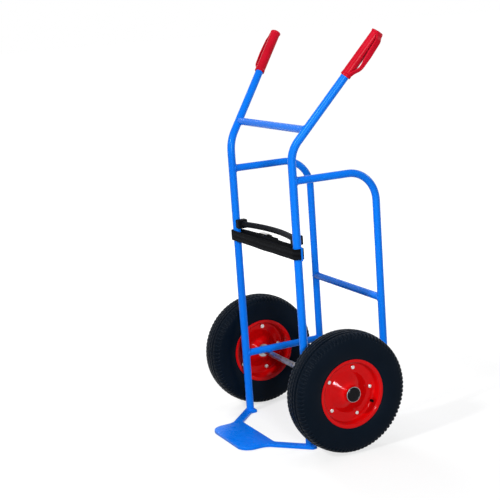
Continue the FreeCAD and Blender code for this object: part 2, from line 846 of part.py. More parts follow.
os.makedirs("parts", exist_ok=True)
save_pair("rail", make_rail())
save_pair("stay", make_stay())
save_pair("strut", make_strut())
save("handle_crossbar", make_handle_crossbar())
save("rear_crossbar", make_rear_crossbar())
save("toe_plate", make_toe_plate())
make_cradle()
save_pair("grip", make_grip())
make_axle_set()
make_wheel()
save("strap", make_strap())
save_pair("keeper", make_keeper())
make_buckle()
gap, length = strap_self_gap()
print("strap: least gap between layers", round(gap, 2), "mm, length", round(length), "mm")
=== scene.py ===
"""Looks of the drum trolley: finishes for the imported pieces, and finer surfaces for some of them.

Metres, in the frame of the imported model: X along the axle, -Y the load side, Z up, floor at z = 0. New
surfaces are drawn with the rails on y = 0 and moved to the rails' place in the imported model. Names that end
in UV are the steps in metres between a grid's rows and between its columns.
"""

import json
import math

import bmesh
import bpy
import numpy as np
from mathutils import Matrix, Vector


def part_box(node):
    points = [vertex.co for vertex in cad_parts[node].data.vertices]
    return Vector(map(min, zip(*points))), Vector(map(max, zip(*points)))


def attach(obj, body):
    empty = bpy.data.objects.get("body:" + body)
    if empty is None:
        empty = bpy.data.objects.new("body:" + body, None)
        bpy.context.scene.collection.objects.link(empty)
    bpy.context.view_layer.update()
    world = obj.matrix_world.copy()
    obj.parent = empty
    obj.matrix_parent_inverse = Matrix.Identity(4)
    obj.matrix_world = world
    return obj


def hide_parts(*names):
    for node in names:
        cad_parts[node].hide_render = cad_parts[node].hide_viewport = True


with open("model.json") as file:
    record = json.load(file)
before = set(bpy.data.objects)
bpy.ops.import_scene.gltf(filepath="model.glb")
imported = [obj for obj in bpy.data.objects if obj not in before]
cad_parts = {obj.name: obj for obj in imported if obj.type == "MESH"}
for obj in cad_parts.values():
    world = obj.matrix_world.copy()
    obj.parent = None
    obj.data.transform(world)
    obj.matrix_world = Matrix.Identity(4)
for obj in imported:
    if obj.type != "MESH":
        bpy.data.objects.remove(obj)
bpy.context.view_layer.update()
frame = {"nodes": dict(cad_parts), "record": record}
nodes = frame["nodes"]
SIDES = {"right": 1.0, "left": -1.0}
FULL_TURN = 2 * math.pi

# Mesh making
CREASE = math.radians(40)
MERGE_DISTANCE = 1e-7
ARC_STEPS = 8

# Frame tubes
RAIL_X = 0.222
RAIL_RADIUS = 0.0135
BEND_HEIGHT = 0.979
LEAN_BACK = math.radians(37.1)
SPLAY_OUT = math.radians(18.8)
HANDLE_RISE = 0.350
CROSSBAR_RISE = 0.062
CROSSBAR_RADIUS = 0.0125
STAY_HEIGHT = 0.883
STAY_REACH = 0.300
STAY_RADIUS = 0.0125
REAR_BAR_HEIGHT = 0.456
BRACE_RADIUS = 0.0125
STRUT_HEIGHT = 0.2195
AXLE_RADIUS = 0.010
TOE_THICKNESS = 0.010

# Weld beads
WELD_RADIUS = 0.0026
WELD_RIPPLE = 0.10
WELD_PITCH = 0.0035
WELD_ROWS = 96
WELD_COLUMNS = 10
WELD_UV = (0.002, 0.0016)

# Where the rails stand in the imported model
FRAME_SHIFT = np.array([0.0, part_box("right_rail")[0].y + RAIL_RADIUS, 0.0])

# Toe plate
TOE_HALF_WIDTH = 0.247
TOE_REAR = 0.018
TOE_CORNER_RADIUS = 0.012
TOE_SIDE_FLAT = 0.003
TOE_PAD_INNER = 0.200
TOE_PAD_RADIUS = 0.006
ARM_WIDTH = 0.030
ARM_ROOT_RADIUS = 0.008
TONGUE_HALF_WIDTH = 0.130
TONGUE_ROOT = 0.114
TONGUE_REAR = 0.080
TONGUE_REAR_RADIUS = 0.025
TONGUE_REACH = 0.200
TONGUE_CORNER_RADIUS = 0.045
TOE_EDGE_ROUND = 0.0015
TOE_EDGE_STEPS = 6
TOE_ARC_STEPS = 12
TOE_UV = (0.002, 0.01)

# Grips: the sleeve
GRIP_LENGTH = 0.170
GRIP_RADIUS = 0.0165
GRIP_FLANGE = 0.0182
GRIP_FLANGE_LENGTH = 0.007
GRIP_FLANGE_SLOPE = 0.004
GRIP_FLANGE_ROUND = 0.002
GRIP_COLLAR = 0.0173
GRIP_COLLAR_SLOPE = 0.003
GRIP_COLLAR_ROUND = 0.0012
GRIP_NECK_ROUND = 0.003
GRIP_RIM_ROUND = 0.0015
GRIP_DOME = 0.0035
GRIP_DOME_ROUND = 0.020
GRIP_DOME_SHARE = 0.6
GRIP_COLUMNS = 64
GRIP_UV = (0.002, 0.002)

# Grips: the knuckle guard
GUARD_LOWER_OFFSET = 0.0500
GUARD_UPPER_OFFSET = 0.036
GUARD_TURN = math.radians(5)
GUARD_LOWER_WIDTH = 0.0135
GUARD_UPPER_WIDTH = 0.0205
GUARD_THICKNESS = 0.006
GUARD_EDGE_ROUND = 0.0024
GUARD_FOOT = 0.010
GUARD_LOWER_BEND = 0.045
GUARD_UPPER_BEND = 0.026
GUARD_LOWER_ROUND = 0.024
GUARD_UPPER_ROUND = 0.016
GUARD_TAPER = 0.55
GUARD_ROOT_RADIUS = RAIL_RADIUS + 0.0015
GUARD_ROOT_BLEND = 0.012
GUARD_ROOT_WIDEN = 0.25
GUARD_ROOT_THICKEN = 0.5
GUARD_ARC_STEPS = 16
GUARD_ROWS = 90

# Tyres; across is measured along the axle from the wheel's middle plane
TYRE_RADIUS = 0.200
TYRE_HALF_WIDTH = 0.050
BEAD_ACROSS = 0.0415
BEAD_RADIUS = 0.1015
FLANGE_RADIUS = 0.113
SHOULDER = (0.04575, 0.188)
TREAD_EDGE = (0.039, 0.194)
TREAD_FADE = 0.004
GROOVES = (-0.0225, -0.0075, 0.0075, 0.0225)
GROOVE_HALF_WIDTH = 0.0020
GROOVE_EDGE = 0.0008
GROOVE_DEPTH = 0.0060
LUG_COUNT = 84
LUG_STEPS = 10
LUG_DEPTH = 0.0035
LUG_START = 0.031
LUG_FADE = 0.002
LUG_END_RADIUS = 0.180
RIB_MARGIN = 0.004
SIPE_DEPTH = LUG_DEPTH / 2
SIPE_SLANT = 0.030
TYRE_ARC_POINTS = 60
TYRE_ROWS = 112
TYRE_ROW_UV = 0.0025

# Cuts between lugs and across ribs, as shares of one lug's pitch
LUG_STAGGER = 0.5
NOTCH_HALF_WIDTH = 0.22
SIPE_HALF_WIDTH = 0.10
CUT_EDGE = 0.06

# Rims
RIM_SHEET = 0.0025
RIM_HALF_WIDTH = 0.044
RIM_JOINT = 0.010
RING_INNER_RADIUS = 0.068
RIM_CONE = 0.024
RIM_COLLAR = 0.005
HUB_RADIUS = 0.0255
RIM_SEAT_BEND = 0.0025
RIM_EDGE_ROUND = 0.001
RIM_WELL_BEND = 0.009
RIM_RING_BEND = 0.008
RIM_CONE_BEND = 0.010
RIM_HUB_BEND = 0.002
RIM_HUB_INNER_BEND = 0.001
RIM_COLLAR_ROUND = 0.0008
RIM_JOINT_BEND = 0.004
RIM_COLUMNS = 180
RIM_UV = (0.002, 0.003)

# Steel ring round each hub cap
CAP_RING = (0.0502, 0.0243)
CAP_RING_RADIUS = 0.0008
CAP_RING_ROWS = 12
CAP_RING_COLUMNS = 96
CAP_RING_UV = (0.0005, 0.0016)

# Strap: a flat spiral of two turns round both rails; each sway is (height, radians a metre, start)
STRAP_HEIGHT = 0.651
STRAP_WIDTH = 0.035
STRAP_THICKNESS = 0.002
STRAP_EDGE_ROUND = 0.0009
STRAP_RAIL_GAP = 0.0006
STRAP_LAYER_GAP = 0.0024
STRAP_START = 0.060
STRAP_LEAVE = math.radians(3)
STRAP_TAIL = 0.250
STRAP_SWAYS = ((0.0006, 21.0, 0.0), (0.0004, 47.0, 1.0))
STRAP_ARC_POINTS = 40
STRAP_STEP = 0.002
STRAP_UV = (STRAP_STEP, 0.0022)

# Span of a noise texture's values that a finish uses
NOISE_LOW = 0.35
NOISE_HIGH = 0.65

# Distances from the middle between which the floor's glow rises
GLOW_START = 0.6
GLOW_END = 3.0

# Camera, fitted to the photograph's edges; the image is square
IMAGE_SIZE = 500
FOCAL_PIXELS = 1245.87
SENSOR = 36.0
CAMERA_AZIMUTH = math.radians(64.686)
CAMERA_ELEVATION = math.radians(11.582)
CAMERA_ROLL = math.radians(-4.152)
CAMERA_TARGET = np.array([-0.06241, -0.03126, 0.62412])
CAMERA_DISTANCE = 4.19845


def unit(vectors):
    """Vectors scaled to length one along the last axis."""
    return vectors / np.linalg.norm(vectors, axis=-1, keepdims=True)


def turns(count):
    """Angles in equal steps round one full turn."""
    return np.arange(count) * FULL_TURN / count


def smooth_step(values):
    """Smooth ramp from 0 to 1: 3t squared less 2t cubed, held outside that span."""
    t = np.clip(values, 0, 1)
    return t * t * (3 - 2 * t)


def surface(name, patches, material, body, replaced=()):
    """One mesh object from grids of points.

    Each patch is (points, closed rows, closed columns, (row step, column step)); a face joins each four
    neighbouring points, and the UV map counts the steps in metres.
    """
    points, faces, uvs = [], [], []
    count = 0
    for grid, closed_rows, closed_columns, (row_step, column_step) in patches:
        rows, columns = grid.shape[:2]
        row, column = np.meshgrid(
            np.arange(rows if closed_rows else rows - 1),
            np.arange(columns if closed_columns else columns - 1), indexing="ij")
        corner_rows = np.stack([row, row, row + 1, row + 1], -1).reshape(-1, 4)
        corner_columns = np.stack([column, column + 1, column + 1, column], -1).reshape(-1, 4)
        faces.append(count + corner_rows % rows * columns + corner_columns % columns)
        uvs.append(np.stack([corner_columns * column_step, corner_rows * row_step], -1))
        points.append(grid.reshape(-1, 3))
        count += rows * columns
    points = np.concatenate(points) + FRAME_SHIFT
    faces = np.concatenate(faces)
    uvs = np.concatenate(uvs)
    mesh = bpy.data.meshes.new(name)
    mesh.vertices.add(len(points))
    mesh.vertices.foreach_set("co", points.astype(np.float32).ravel())
    mesh.loops.add(faces.size)
    mesh.loops.foreach_set("vertex_index", faces.astype(np.int32).ravel())
    mesh.polygons.add(len(faces))
    mesh.polygons.foreach_set("loop_start", np.arange(0, faces.size, 4, dtype=np.int32))
    mesh.update(calc_edges=True)
    layer = mesh.uv_layers.new(name="UVMap")
    layer.data.foreach_set("uv", uvs.astype(np.float32).ravel())
    joined = bmesh.new()
    joined.from_mesh(mesh)
    bmesh.ops.remove_doubles(joined, verts=joined.verts, dist=MERGE_DISTANCE)
    bmesh.ops.recalc_face_normals(joined, faces=joined.faces)
    joined.to_mesh(mesh)
    joined.free()
    mesh.polygons.foreach_set("use_smooth", np.ones(len(mesh.polygons), dtype=bool))
    mesh.set_sharp_from_angle(angle=CREASE)
    mesh.materials.append(material)
    piece = bpy.data.objects.new(name, mesh)
    bpy.context.scene.collection.objects.link(piece)
    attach(piece, body)
    if replaced:
        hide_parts(*replaced)
    return piece


def rounded_line(corners, closed, steps=ARC_STEPS):
    """Polyline through corners (x, y, radius), with an arc at each corner that has a radius.

    The arc touches both sides at the radius over the tangent of half the corner's angle.
    """
    corners = np.asarray(corners, float)
    points = corners[:, :2]
    last = len(points) - 1
    share = np.linspace(0, 1, steps)[:, None]
    pieces = []
    for index, radius in enumerate(corners[:, 2]):
        corner = points[index]
        if radius == 0 or (not closed and index in (0, last)):
            pieces.append(corner[None])
            continue
        back = unit(points[index - 1] - corner)
        ahead = unit(points[(index + 1) % len(points)] - corner)
        half = math.acos(np.clip(back @ ahead, -1, 1)) / 2
        middle = corner + unit(back + ahead) * radius / math.sin(half)
        first = corner + back * radius / math.tan(half) - middle
        second = corner + ahead * radius / math.tan(half) - middle
        sweep = math.pi - 2 * half
        spokes = first * np.sin((1 - share) * sweep) + second * np.sin(share * sweep)
        pieces.append(middle + spokes / math.sin(sweep))
    return np.concatenate(pieces)


def rounded_box(width, depth, radius):
    """Outline of a rectangle with rounded corners, round the origin."""
    x, y = width / 2, depth / 2
    return rounded_line([(x, y, radius), (-x, y, radius), (-x, -y, radius), (x, -y, radius)], True)


def resampled(line, count):
    """Points at equal distances along a polyline, ends kept."""
    along = np.concatenate([[0], np.cumsum(np.linalg.norm(np.diff(line, axis=0), axis=1))])
    stops = np.linspace(0, along[-1], count)
    return np.stack([np.interp(stops, along, line[:, axis]) for axis in range(line.shape[1])], -1)


def arc_through(first, middle, last, count):
    """Points on the circle through three points of the plane, from the first to the last."""
    a, b, c = (complex(*p) for p in (first, middle, last))
    w = (c - a) / (b - a)
    centre = (b - a) * (w - abs(w) ** 2) / (2j * w.imag) + a
    start = np.angle(a - centre)
    sweep = np.angle((b - centre) / (a - centre)) + np.angle((c - centre) / (b - centre))
    turn = centre + abs(a - centre) * np.exp(1j * (start + np.linspace(0, 1, count) * sweep))
    return np.stack([turn.real, turn.imag], -1)


def swept(path, first_axis, second_axis, section):
    """Section carried along a path: its point (a, b) sits at path + a * first axis + b * second axis."""
    section = np.broadcast_to(section, (len(path),) + section.shape[-2:])
    offsets = section[..., :1] * first_axis[:, None] + section[..., 1:] * second_axis[:, None]
    return path[:, None] + offsets


def capped(grid):
    """Swept grid closed at both ends by a last row drawn together in its middle."""
    first = np.broadcast_to(grid[:1].mean(1, keepdims=True), grid[:1].shape)
    last = np.broadcast_to(grid[-1:].mean(1, keepdims=True), grid[-1:].shape)
    return np.concatenate([first, grid, last])


# Finishes


class Finish:
    """A material under construction, with helpers that add texture nodes to it."""

    def __init__(self, name, colour, roughness, metallic=0.0, specular=0.5):
        self.material = bpy.data.materials.new(name)
        self.material.use_nodes = True
        self.tree = self.material.node_tree
        self.shader = self.tree.nodes["Principled BSDF"]
        self.colour = (*colour, 1)
        self.set("Base Color", self.colour)
        self.set("Roughness", roughness)
        self.set("Metallic", metallic)
        self.set("Specular IOR Level", specular)

    def set(self, socket, value):
        """Give one of the shader's sockets a plain value."""
        self.shader.inputs[socket].default_value = value

    def node(self, kind, **values):
        """New node with the named inputs set."""
        node = self.tree.nodes.new(kind)
        for key, value in values.items():
            node.inputs[key].default_value = value
        return node

    def link(self, source, target):
        """Join an output to an input."""
        self.tree.links.new(source, target)

    def noise(self, scale, detail, stretch=(1, 1, 1)):
        """Noise texture in object space, in cycles a metre."""
        place = self.tree.nodes.new("ShaderNodeTexCoord")
        mapping = self.node("ShaderNodeMapping", Scale=stretch)
        texture = self.node("ShaderNodeTexNoise", Scale=scale, Detail=detail)
        self.link(place.outputs["Object"], mapping.inputs["Vector"])
        self.link(mapping.outputs["Vector"], texture.inputs["Vector"])
        return texture.outputs["Fac"]

    def ranged(self, value, low, high, start=NOISE_LOW, end=NOISE_HIGH):
        """Value mapped from start..end to low..high."""
        node = self.tree.nodes.new("ShaderNodeMapRange")
        node.inputs["From Min"].default_value = start
        node.inputs["From Max"].default_value = end
        node.inputs["To Min"].default_value = low
        node.inputs["To Max"].default_value = high
        self.link(value, node.inputs["Value"])
        return node.outputs["Result"]

    def vary(self, socket, value, low, high):
        """Drive a plain socket by a texture value."""
        self.link(self.ranged(value, low, high), self.shader.inputs[socket])

    def tint(self, value, other, start=NOISE_LOW, end=NOISE_HIGH):
        """Mix the base colour towards another by a texture value."""
        mix = self.tree.nodes.new("ShaderNodeMix")
        mix.data_type = "RGBA"
        mix.inputs["A"].default_value = self.colour
        mix.inputs["B"].default_value = (*other, 1)
        self.link(self.ranged(value, 0, 1, start, end), mix.inputs["Factor"])
        self.link(mix.outputs["Result"], self.shader.inputs["Base Color"])

    def bump(self, value, distance, strength):
        """Give the surface a height from a texture value."""
        node = self.node("ShaderNodeBump", Strength=strength, Distance=distance)
        self.link(value, node.inputs["Height"])
        self.link(node.outputs["Normal"], self.shader.inputs["Normal"])


def powder_coat(name, colour, darker, roughness, gloss, glint):
    """Glossy baked coat: faint orange peel, slight cloudiness in colour and gloss, tinted reflection."""
    finish = Finish(name, colour, roughness, specular=gloss)
    finish.set("Specular Tint", (*glint, 1))
    finish.tint(finish.noise(scale=7.0, detail=4.0), darker, start=0.40, end=0.85)
    cloud = finish.noise(scale=35.0, detail=3.0)
    finish.vary("Roughness", cloud, low=roughness * 0.85, high=roughness * 1.25)
    finish.bump(finish.noise(scale=420.0, detail=1.0), distance=0.00012, strength=0.25)
    return finish.material


def moulded(name, colour, darker, roughness, gloss, grain, depth):
    """Moulded plastic or rubber with a fine grain and slight change of shade."""
    finish = Finish(name, colour, roughness, specular=gloss)
    finish.tint(finish.noise(scale=16.0, detail=4.0), darker)
    cloud = finish.noise(scale=60.0, detail=3.0)
    finish.vary("Roughness", cloud, low=roughness * 0.85, high=roughness * 1.15)
    finish.bump(finish.noise(scale=grain, detail=2.0), distance=depth, strength=0.4)
    return finish.material


def plated(name, colour, roughness, grain):
    """Metal with fine drawn lines and cloudy gloss."""
    finish = Finish(name, colour, roughness, metallic=1.0)
    cloud = finish.noise(scale=90.0, detail=4.0)
    finish.vary("Roughness", cloud, low=roughness * 0.75, high=roughness * 1.3)
    lines = finish.noise(scale=900.0, detail=2.0, stretch=grain)
    finish.bump(lines, distance=0.00002, strength=0.3)
    return finish.material


def woven(name, colour, lighter):
    """Webbing: ribs of yarn along the band and picks across it, from two waves in UV space."""
    finish = Finish(name, colour, roughness=0.80, specular=0.06)
    place = finish.tree.nodes.new("ShaderNodeTexCoord")
    waves = []
    for direction, scale in (("X", 300.0), ("Y", 210.0)):
        wave = finish.node("ShaderNodeTexWave", Scale=scale, Distortion=0.6, Detail=1.0)
        wave.bands_direction = direction
        finish.link(place.outputs["UV"], wave.inputs["Vector"])
        waves.append(wave.outputs["Fac"])
    product = finish.tree.nodes.new("ShaderNodeMath")
    product.operation = "MULTIPLY"
    finish.link(waves[0], product.inputs[0])
    finish.link(waves[1], product.inputs[1])
    finish.tint(product.outputs["Value"], lighter, start=0.0, end=1.0)
    finish.bump(product.outputs["Value"], distance=0.0004, strength=0.6)
    return finish.material


BLUE = powder_coat(
    "blue_paint", colour=(0.002, 0.172, 0.810), darker=(0.002, 0.145, 0.730),
    roughness=0.28, gloss=0.20, glint=(0.35, 0.90, 1.0))
RED = powder_coat(
    "red_paint", colour=(0.620, 0.002, 0.003), darker=(0.540, 0.002, 0.002),
    roughness=0.10, gloss=0.14, glint=(1.0, 0.60, 0.65))
GRIP_RED = moulded(
    "red_plastic", colour=(0.580, 0.006, 0.024), darker=(0.490, 0.004, 0.016),
    roughness=0.28, gloss=0.05, grain=900.0, depth=4e-5)
TYRE = moulded(
    "tyre_rubber", colour=(0.0008, 0.0038, 0.0088), darker=(0.0016, 0.0048, 0.0104),
    roughness=0.42, gloss=0.05, grain=700.0, depth=1e-4)
RUBBER = moulded(
    "black_rubber", colour=(0.0018, 0.0022, 0.0036), darker=(0.0026, 0.0030, 0.0048),
    roughness=0.50, gloss=0.06, grain=800.0, depth=1e-4)
VALVE = moulded(
    "valve_rubber", colour=(0.0022, 0.0026, 0.0022), darker=(0.0032, 0.0036, 0.0032),
    roughness=0.50, gloss=0.06, grain=900.0, depth=5e-5)
CAP = moulded(
    "black_plastic", colour=(0.0010, 0.0009, 0.0022), darker=(0.0018, 0.0016, 0.0034),
    roughness=0.22, gloss=0.12, grain=900.0, depth=2e-5)
WEBBING = woven("webbing", colour=(0.0008, 0.0010, 0.0016), lighter=(0.0100, 0.0110, 0.0135))
ZINC = plated("zinc_steel", colour=(0.60, 0.58, 0.57), roughness=0.24, grain=(1, 1, 1))
STEEL = plated("bare_steel", colour=(0.42, 0.42, 0.43), roughness=0.36, grain=(0.05, 1, 1))

FINISHES = {
    "blue_paint": BLUE, "red_paint": RED, "red_plastic": GRIP_RED, "tyre_rubber": TYRE,
    "black_rubber": RUBBER, "valve_rubber": VALVE, "black_plastic": CAP, "webbing": WEBBING,
    "zinc_steel": ZINC, "bare_steel": STEEL,
}


def finish_nodes():
    """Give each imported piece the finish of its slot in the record."""
    for part in frame["record"]["subparts"]:
        for holder in nodes[part["node"]].material_slots:
            holder.material = FINISHES[part["material_slot"]]


# Wheels


def wheel_centre(side):
    """Middle of the tyre's box, with the rails on y = 0."""
    low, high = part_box(side + "_wheel_tyre")
    return np.array((low + high) / 2) - FRAME_SHIFT


def lathe(profile, side, turn):
    """Surface of revolution: each (across, radius) of the profile goes round the axle at the given angles."""
    across, radius = profile[..., 0], profile[..., 1]
    across = np.broadcast_to(across, np.broadcast_shapes(across.shape, turn.shape))
    grid = np.stack([across * SIDES[side], radius * np.sin(turn), radius * np.cos(turn)], -1)
    return grid + wheel_centre(side)


def tyre_section():
    """Outer line of the tyre from bead to bead as (across, radius), equally spaced.

    Corners are eased: each point is the mean of five neighbours with weights 1, 2, 3, 2 and 1.
    """
    middle = (FLANGE_RADIUS + TYRE_RADIUS) / 2
    flange = (BEAD_ACROSS, FLANGE_RADIUS)
    wall = arc_through(flange, (TYRE_HALF_WIDTH, middle), SHOULDER, TYRE_ARC_POINTS)
    mirror = np.array([-1, 1])
    crown = arc_through(TREAD_EDGE, (0, TYRE_RADIUS), TREAD_EDGE * mirror, TYRE_ARC_POINTS)
    line = np.concatenate([
        [(BEAD_ACROSS, BEAD_RADIUS)], wall, crown, wall[::-1] * mirror, [(-BEAD_ACROSS, BEAD_RADIUS)]])
    line = resampled(line, TYRE_ROWS)
    eased = line.copy()
    eased[2:-2] = (line[:-4] + 2 * line[1:-3] + 3 * line[2:-2] + 2 * line[3:-1] + line[4:]) / 9
    return eased


def make_tyre(side):
    """Tyre: the section goes round the axle, sunk along its normal by grooves and by notches between lugs.

    depth(across, turn) is the largest of the groove depth near each groove, the lug depth between lugs on
    the shoulders, and a shallow slanted cut across each rib at every lug.
    """
    section = tyre_section()
    tangent = unit(np.gradient(section, axis=0))
    normal = np.stack([-tangent[:, 1], tangent[:, 0]], -1)
    normal *= np.sign(np.sum(normal * (section - [0, TYRE_RADIUS / 2]), -1, keepdims=True))
    columns = LUG_COUNT * LUG_STEPS
    turn = turns(columns)
    across, radius = section[:, :1], section[:, 1:]
    on_tread = smooth_step((radius - LUG_END_RADIUS) / TREAD_FADE)
    away = np.min(np.abs(across - np.array(GROOVES)), -1, keepdims=True)
    groove = smooth_step((GROOVE_HALF_WIDTH + GROOVE_EDGE - away) / GROOVE_EDGE) * on_tread
    phase = (turn * LUG_COUNT / FULL_TURN)[None] % 1.0
    lug_phase = (phase + LUG_STAGGER * (across < 0)) % 1.0
    notch = smooth_step((NOTCH_HALF_WIDTH - np.abs(lug_phase - 0.5)) / CUT_EDGE)
    shoulder = smooth_step((np.abs(across) - LUG_START) / LUG_FADE) * on_tread
    sipe_phase = (phase + across / SIPE_SLANT) % 1.0
    sipe = smooth_step((SIPE_HALF_WIDTH - np.abs(sipe_phase - 0.5)) / CUT_EDGE)
    rib = (1 - smooth_step((np.abs(across) - LUG_START + RIB_MARGIN) / LUG_FADE)) * on_tread
    depth = np.maximum(groove * GROOVE_DEPTH, notch * shoulder * LUG_DEPTH)
    depth = np.maximum(depth, sipe * rib * SIPE_DEPTH)
    profile = section[:, None] - depth[..., None] * normal[:, None]
    grid = lathe(profile, side, turn[None])
    steps = (TYRE_ROW_UV, TYRE_RADIUS * FULL_TURN / columns)
    surface(side + "_tyre_surface", [(grid, True, True, steps)], TYRE, side + "_wheel",
            [side + "_wheel_tyre"])


def rim_profile(flange, joint, ring, hub):
    """Closed section of a pressed rim half as (across, radius), with rounded bends."""
    way = 1 if flange > joint else -1
    inside = flange - way * RIM_SHEET
    seat = BEAD_RADIUS - RIM_SHEET
    collar = hub + way * RIM_COLLAR
    return rounded_line([
        (joint, BEAD_RADIUS, 0), (inside, BEAD_RADIUS, RIM_SEAT_BEND),
        (inside, FLANGE_RADIUS, RIM_EDGE_ROUND), (flange, FLANGE_RADIUS, RIM_EDGE_ROUND),
        (flange, seat, RIM_WELL_BEND), (ring, seat, RIM_RING_BEND),
        (ring, RING_INNER_RADIUS, RIM_CONE_BEND), (hub, HUB_RADIUS + RIM_SHEET, RIM_HUB_BEND),
        (collar, HUB_RADIUS + RIM_SHEET, RIM_COLLAR_ROUND), (collar, HUB_RADIUS, RIM_COLLAR_ROUND),
        (hub - way * RIM_SHEET, HUB_RADIUS, RIM_HUB_INNER_BEND),
        (joint, RING_INNER_RADIUS - RIM_SHEET, RIM_JOINT_BEND),
    ], True)


def make_rims(side):
    """Both rim halves: closed sections turned round the axle line."""
    cone_end = RIM_JOINT + RIM_SHEET + RIM_CONE
    halves = {
        "outer": rim_profile(RIM_HALF_WIDTH, RIM_JOINT, RIM_JOINT + RIM_SHEET, cone_end),
        "inner": rim_profile(-RIM_HALF_WIDTH, RIM_JOINT, RIM_JOINT - RIM_SHEET, -cone_end),
    }
    for half, profile in halves.items():
        rim = side + "_" + half + "_rim"
        grid = lathe(profile[:, None], side, turns(RIM_COLUMNS)[None])
        surface(rim + "_surface", [(grid, True, True, RIM_UV)], RED, side + "_wheel", [rim])


def make_cap_ring(side):
    """Thin steel ring that shows round the hub cap: a small circle turned round the axle line."""
    around = turns(CAP_RING_ROWS)
    profile = np.array(CAP_RING) + CAP_RING_RADIUS * np.stack([np.cos(around), np.sin(around)], -1)
    grid = lathe(profile[:, None], side, turns(CAP_RING_COLUMNS)[None])
    surface(side + "_cap_ring", [(grid, True, True, CAP_RING_UV)], STEEL, side + "_wheel")


# Grips


def handle_line(side):
    """Bend corner, end and direction of a handle's centre line."""
    mirror = np.array([SIDES[side], 1, 1])
    slope = np.array([math.tan(SPLAY_OUT), math.tan(LEAN_BACK), 1]) * mirror
    corner = np.array([RAIL_X, 0, BEND_HEIGHT]) * mirror
    return corner, corner + slope * HANDLE_RISE, unit(slope)


def grip_axes(side):
    """Foot of a grip, its axis, the direction in which its guard stands off, and the one across the guard."""
    _, end, axis = handle_line(side)
    outward = np.array([SIDES[side], 0, 0])
    outward = unit(outward - axis * (outward @ axis))
    downward = np.cross(axis, outward) * SIDES[side]
    guard_side = outward * math.cos(GUARD_TURN) + downward * math.sin(GUARD_TURN)
    return end - axis * GRIP_LENGTH, axis, guard_side, np.cross(axis, guard_side)


def grip_sleeve(base, axis, guard_side, across):
    """Rounded sleeve: each (along, radius) of its profile goes round the handle's axis."""
    flange_low = GRIP_LENGTH - GRIP_FLANGE_LENGTH
    profile = rounded_line([
        (0.0, RAIL_RADIUS, 0), (0.0, GRIP_COLLAR, GRIP_COLLAR_ROUND),
        (GRIP_FLANGE_LENGTH, GRIP_COLLAR, GRIP_COLLAR_ROUND),
        (GRIP_FLANGE_LENGTH + GRIP_COLLAR_SLOPE, GRIP_RADIUS, GRIP_NECK_ROUND),
        (flange_low - GRIP_FLANGE_SLOPE, GRIP_RADIUS, GRIP_NECK_ROUND),
        (flange_low, GRIP_FLANGE, GRIP_FLANGE_ROUND),
        (GRIP_LENGTH - GRIP_DOME, GRIP_FLANGE, GRIP_RIM_ROUND),
        (GRIP_LENGTH - GRIP_DOME / 4, GRIP_FLANGE * GRIP_DOME_SHARE, GRIP_DOME_ROUND),
        (GRIP_LENGTH, 0.0, 0),
    ], False)
    along, radius = profile[:, 0].reshape(-1, 1, 1), profile[:, 1].reshape(-1, 1, 1)
    turn = turns(GRIP_COLUMNS)[None, :, None]
    return base + axis * along + radius * (np.cos(turn) * guard_side + np.sin(turn) * across)


def grip_guard(base, axis, guard_side, across):
    """Flat guard swept along its bent line.

    The section is a rounded rectangle that widens upwards, and where it runs into the sleeve.
    """
    upper_bend = GRIP_LENGTH - GUARD_UPPER_BEND
    bent = rounded_line([
        (GUARD_FOOT, GUARD_ROOT_RADIUS, 0),
        (GUARD_LOWER_BEND, GUARD_LOWER_OFFSET, GUARD_LOWER_ROUND),
        (upper_bend, GUARD_UPPER_OFFSET, GUARD_UPPER_ROUND),
        (GRIP_LENGTH - GRIP_FLANGE_LENGTH / 2, GUARD_ROOT_RADIUS, 0),
    ], False, GUARD_ARC_STEPS)
    line = resampled(bent, GUARD_ROWS)
    path = base + line[:, :1] * axis + line[:, 1:] * guard_side
    along = unit(np.gradient(path, axis=0))
    near = 1 - smooth_step((line[:, 1] - GRIP_RADIUS) / GUARD_ROOT_BLEND)
    climb = (line[:, 0] - GUARD_LOWER_BEND) / (upper_bend - GUARD_LOWER_BEND)
    widen = 1 + smooth_step(climb / GUARD_TAPER) * (GUARD_UPPER_WIDTH / GUARD_LOWER_WIDTH - 1)
    swell = np.stack([widen * (1 + GUARD_ROOT_WIDEN * near), 1 + GUARD_ROOT_THICKEN * near], -1)
    section = rounded_box(GUARD_LOWER_WIDTH, GUARD_THICKNESS, GUARD_EDGE_ROUND)[None] * swell[:, None]
    return capped(swept(path, np.broadcast_to(across, path.shape), np.cross(along, across), section))


def make_grip(side):
    """Grip: a sleeve turned round the handle and a knuckle guard beside it, as one piece."""
    axes = grip_axes(side)
    patches = [(grid, False, True, GRIP_UV) for grid in (grip_sleeve(*axes), grip_guard(*axes))]
    surface(side + "_grip_surface", patches, GRIP_RED, "frame", [side + "_grip"])


# Strap


def strap_line():
    """Centre line of the strap from above: straight runs and arcs round the rails, two turns outwards."""
    first = RAIL_RADIUS + STRAP_RAIL_GAP + STRAP_THICKNESS / 2
    pitch = STRAP_THICKNESS + STRAP_LAYER_GAP
    second = first + pitch
    rear = math.pi - math.acos(pitch / (2 * RAIL_X))
    quarter = math.pi / 2

    def around(way, radius, start, end):
        turn = np.linspace(start, end, STRAP_ARC_POINTS)
        return np.stack([way * RAIL_X + radius * np.cos(turn), radius * np.sin(turn)], -1)

    left_out = around(-1, second, -quarter, quarter + STRAP_LEAVE - FULL_TURN)
    heading = np.array([math.cos(STRAP_LEAVE), math.sin(STRAP_LEAVE)])
    line = np.concatenate([
        [(STRAP_START, first)], around(1, first, quarter, -quarter),
        around(-1, first, -quarter, rear - FULL_TURN), around(1, second, rear, -quarter), left_out,
        [left_out[-1] + heading * STRAP_TAIL],
    ])
    length = np.sum(np.linalg.norm(np.diff(line, axis=0), axis=1))
    return resampled(line, int(length / STRAP_STEP))


